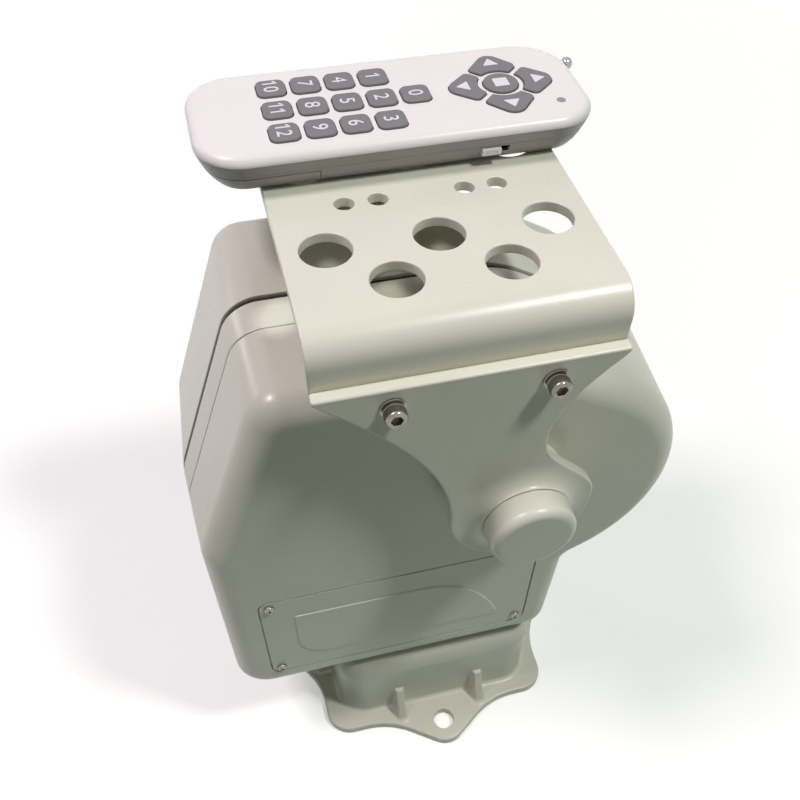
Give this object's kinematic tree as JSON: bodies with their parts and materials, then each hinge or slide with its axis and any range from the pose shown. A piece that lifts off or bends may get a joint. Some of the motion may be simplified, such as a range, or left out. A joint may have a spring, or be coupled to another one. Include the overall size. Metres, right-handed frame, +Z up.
{
  "type": "pan tilt head",
  "caption": "Motorised pan and tilt camera head: cast base, worm-driven turret in drafted shells, drilled platform tilting on side arms, and a keyed radio handset lying on it.",
  "frame": {"origin": "on the pan axis, at the underside of the base", "axes": "+Z up along the pan axis, +X along the platform's rows of holes towards the domed side, -Y towards the access plate"},
  "size_m": [0.2767, 0.2278, 0.4195],
  "materials": {
    "powder_coat": "cream powder coat with fine orange peel",
    "stainless": "bright stainless screws",
    "ground_steel": "ground",
    "bronze": "machined bronze",
    "rubber": "matt",
    "motor_paint": "satin dark grey",
    "board_green": "solder mask",
    "handset_white": "satin off-white moulding",
    "key_grey": "matt grey with white figures",
    "chrome": "bright plate",
    "lens": "smoked lens"
  },
  "bodies": {
    "base": {"base_casting": "powder_coat", "pan_shaft": "ground_steel", "pan_worm_wheel": "bronze"},
    "turret": {"turntable": "ground_steel", "pan_bearing": "ground_steel", "rear_shell": "powder_coat", "centre_frame": "powder_coat", "body_gasket": "rubber", "front_shell": "powder_coat", "access_plate": "powder_coat", "control_board": "board_green", "access_screw_1": "stainless", "access_screw_2": "stainless", "access_screw_3": "stainless", "access_screw_4": "stainless", "tilt_bearing_front": "ground_steel", "tilt_bearing_rear": "ground_steel", "pan_gear_bracket": "motor_paint", "pan_motor": "motor_paint", "tilt_gear_bracket": "motor_paint", "tilt_motor": "motor_paint"},
    "cradle": {"platform": "powder_coat", "tilt_shaft": "ground_steel", "tilt_worm_wheel": "bronze", "arm_front": "powder_coat", "arm_rear": "powder_coat", "hub_cap_front": "powder_coat", "hub_cap_rear": "powder_coat", "arm_screw_front_1": "stainless", "arm_screw_front_2": "stainless", "arm_screw_rear_1": "stainless", "arm_screw_rear_2": "stainless"},
    "pan_worm": {"pan_worm": "ground_steel"},
    "tilt_worm": {"tilt_worm": "ground_steel"},
    "handset": {"handset_upper_shell": "handset_white", "handset_lower_shell": "handset_white", "handset_board": "board_green", "status_led": "lens"},
    "battery_door": {"battery_door": "handset_white"},
    "side_switch": {"side_switch": "handset_white"},
    "antenna": {"antenna": "chrome"},
    "key_0": {"key_0": "key_grey"},
    "key_1": {"key_1": "key_grey"},
    "key_2": {"key_2": "key_grey"},
    "key_3": {"key_3": "key_grey"},
    "key_4": {"key_4": "key_grey"},
    "key_5": {"key_5": "key_grey"},
    "key_6": {"key_6": "key_grey"},
    "key_7": {"key_7": "key_grey"},
    "key_8": {"key_8": "key_grey"},
    "key_9": {"key_9": "key_grey"},
    "key_10": {"key_10": "key_grey"},
    "key_11": {"key_11": "key_grey"},
    "key_12": {"key_12": "key_grey"},
    "key_up": {"key_up": "key_grey"},
    "key_left": {"key_left": "key_grey"},
    "key_down": {"key_down": "key_grey"},
    "key_right": {"key_right": "key_grey"},
    "key_stop": {"key_stop": "key_grey"}
  },
  "joints": [
    {"name": "pan", "type": "hinge", "parent": "base", "child": "turret", "pos_m": [0, 0, 0.078], "axis": [0, 0, 1], "range_deg": [-175, 175]},
    {"name": "tilt", "type": "hinge", "parent": "turret", "child": "cradle", "pos_m": [0.029, 0, 0.268], "axis": [0, 1, 0], "range_deg": [-20, 60]},
    {"name": "pan_worm_spin", "type": "hinge", "parent": "turret", "child": "pan_worm", "pos_m": [0, 0.043, 0.103], "axis": [1, 0, 0], "continuous": true},
    {"name": "tilt_worm_spin", "type": "hinge", "parent": "turret", "child": "tilt_worm", "pos_m": [0.029, 0.036, 0.223], "axis": [1, 0, 0], "continuous": true},
    {"name": "handset_lift", "type": "slide", "parent": "cradle", "child": "handset", "axis": [0, 0, 1], "range_m": [0, 0.12]},
    {"name": "battery_door_slide", "type": "slide", "parent": "handset", "child": "battery_door", "axis": [-1, 0, 0], "range_m": [0, 0.055]},
    {"name": "side_switch_slide", "type": "slide", "parent": "handset", "child": "side_switch", "axis": [1, 0, 0], "range_m": [0, 0.004]},
    {"name": "antenna_slide", "type": "slide", "parent": "handset", "child": "antenna", "axis": [1, 0, 0], "range_m": [0, 0.055]},
    {"name": "key_0_press", "type": "slide", "parent": "handset", "child": "key_0", "axis": [0, 0, -1], "range_m": [0, 0.0008], "stiffness_N_per_m": 300},
    {"name": "key_1_press", "type": "slide", "parent": "handset", "child": "key_1", "axis": [0, 0, -1], "range_m": [0, 0.0008], "stiffness_N_per_m": 300},
    {"name": "key_2_press", "type": "slide", "parent": "handset", "child": "key_2", "axis": [0, 0, -1], "range_m": [0, 0.0008], "stiffness_N_per_m": 300},
    {"name": "key_3_press", "type": "slide", "parent": "handset", "child": "key_3", "axis": [0, 0, -1], "range_m": [0, 0.0008], "stiffness_N_per_m": 300},
    {"name": "key_4_press", "type": "slide", "parent": "handset", "child": "key_4", "axis": [0, 0, -1], "range_m": [0, 0.0008], "stiffness_N_per_m": 300},
    {"name": "key_5_press", "type": "slide", "parent": "handset", "child": "key_5", "axis": [0, 0, -1], "range_m": [0, 0.0008], "stiffness_N_per_m": 300},
    {"name": "key_6_press", "type": "slide", "parent": "handset", "child": "key_6", "axis": [0, 0, -1], "range_m": [0, 0.0008], "stiffness_N_per_m": 300},
    {"name": "key_7_press", "type": "slide", "parent": "handset", "child": "key_7", "axis": [0, 0, -1], "range_m": [0, 0.0008], "stiffness_N_per_m": 300},
    {"name": "key_8_press", "type": "slide", "parent": "handset", "child": "key_8", "axis": [0, 0, -1], "range_m": [0, 0.0008], "stiffness_N_per_m": 300},
    {"name": "key_9_press", "type": "slide", "parent": "handset", "child": "key_9", "axis": [0, 0, -1], "range_m": [0, 0.0008], "stiffness_N_per_m": 300},
    {"name": "key_10_press", "type": "slide", "parent": "handset", "child": "key_10", "axis": [0, 0, -1], "range_m": [0, 0.0008], "stiffness_N_per_m": 300},
    {"name": "key_11_press", "type": "slide", "parent": "handset", "child": "key_11", "axis": [0, 0, -1], "range_m": [0, 0.0008], "stiffness_N_per_m": 300},
    {"name": "key_12_press", "type": "slide", "parent": "handset", "child": "key_12", "axis": [0, 0, -1], "range_m": [0, 0.0008], "stiffness_N_per_m": 300},
    {"name": "key_up_press", "type": "slide", "parent": "handset", "child": "key_up", "axis": [0, 0, -1], "range_m": [0, 0.0008], "stiffness_N_per_m": 300},
    {"name": "key_left_press", "type": "slide", "parent": "handset", "child": "key_left", "axis": [0, 0, -1], "range_m": [0, 0.0008], "stiffness_N_per_m": 300},
    {"name": "key_down_press", "type": "slide", "parent": "handset", "child": "key_down", "axis": [0, 0, -1], "range_m": [0, 0.0008], "stiffness_N_per_m": 300},
    {"name": "key_right_press", "type": "slide", "parent": "handset", "child": "key_right", "axis": [0, 0, -1], "range_m": [0, 0.0008], "stiffness_N_per_m": 300},
    {"name": "key_stop_press", "type": "slide", "parent": "handset", "child": "key_stop", "axis": [0, 0, -1], "range_m": [0, 0.0008], "stiffness_N_per_m": 300}
  ],
  "couplings": [
    {"joint": "pan_worm_spin", "follows": "pan", "ratio": -34},
    {"joint": "tilt_worm_spin", "follows": "tilt", "ratio": 36}
  ]
}
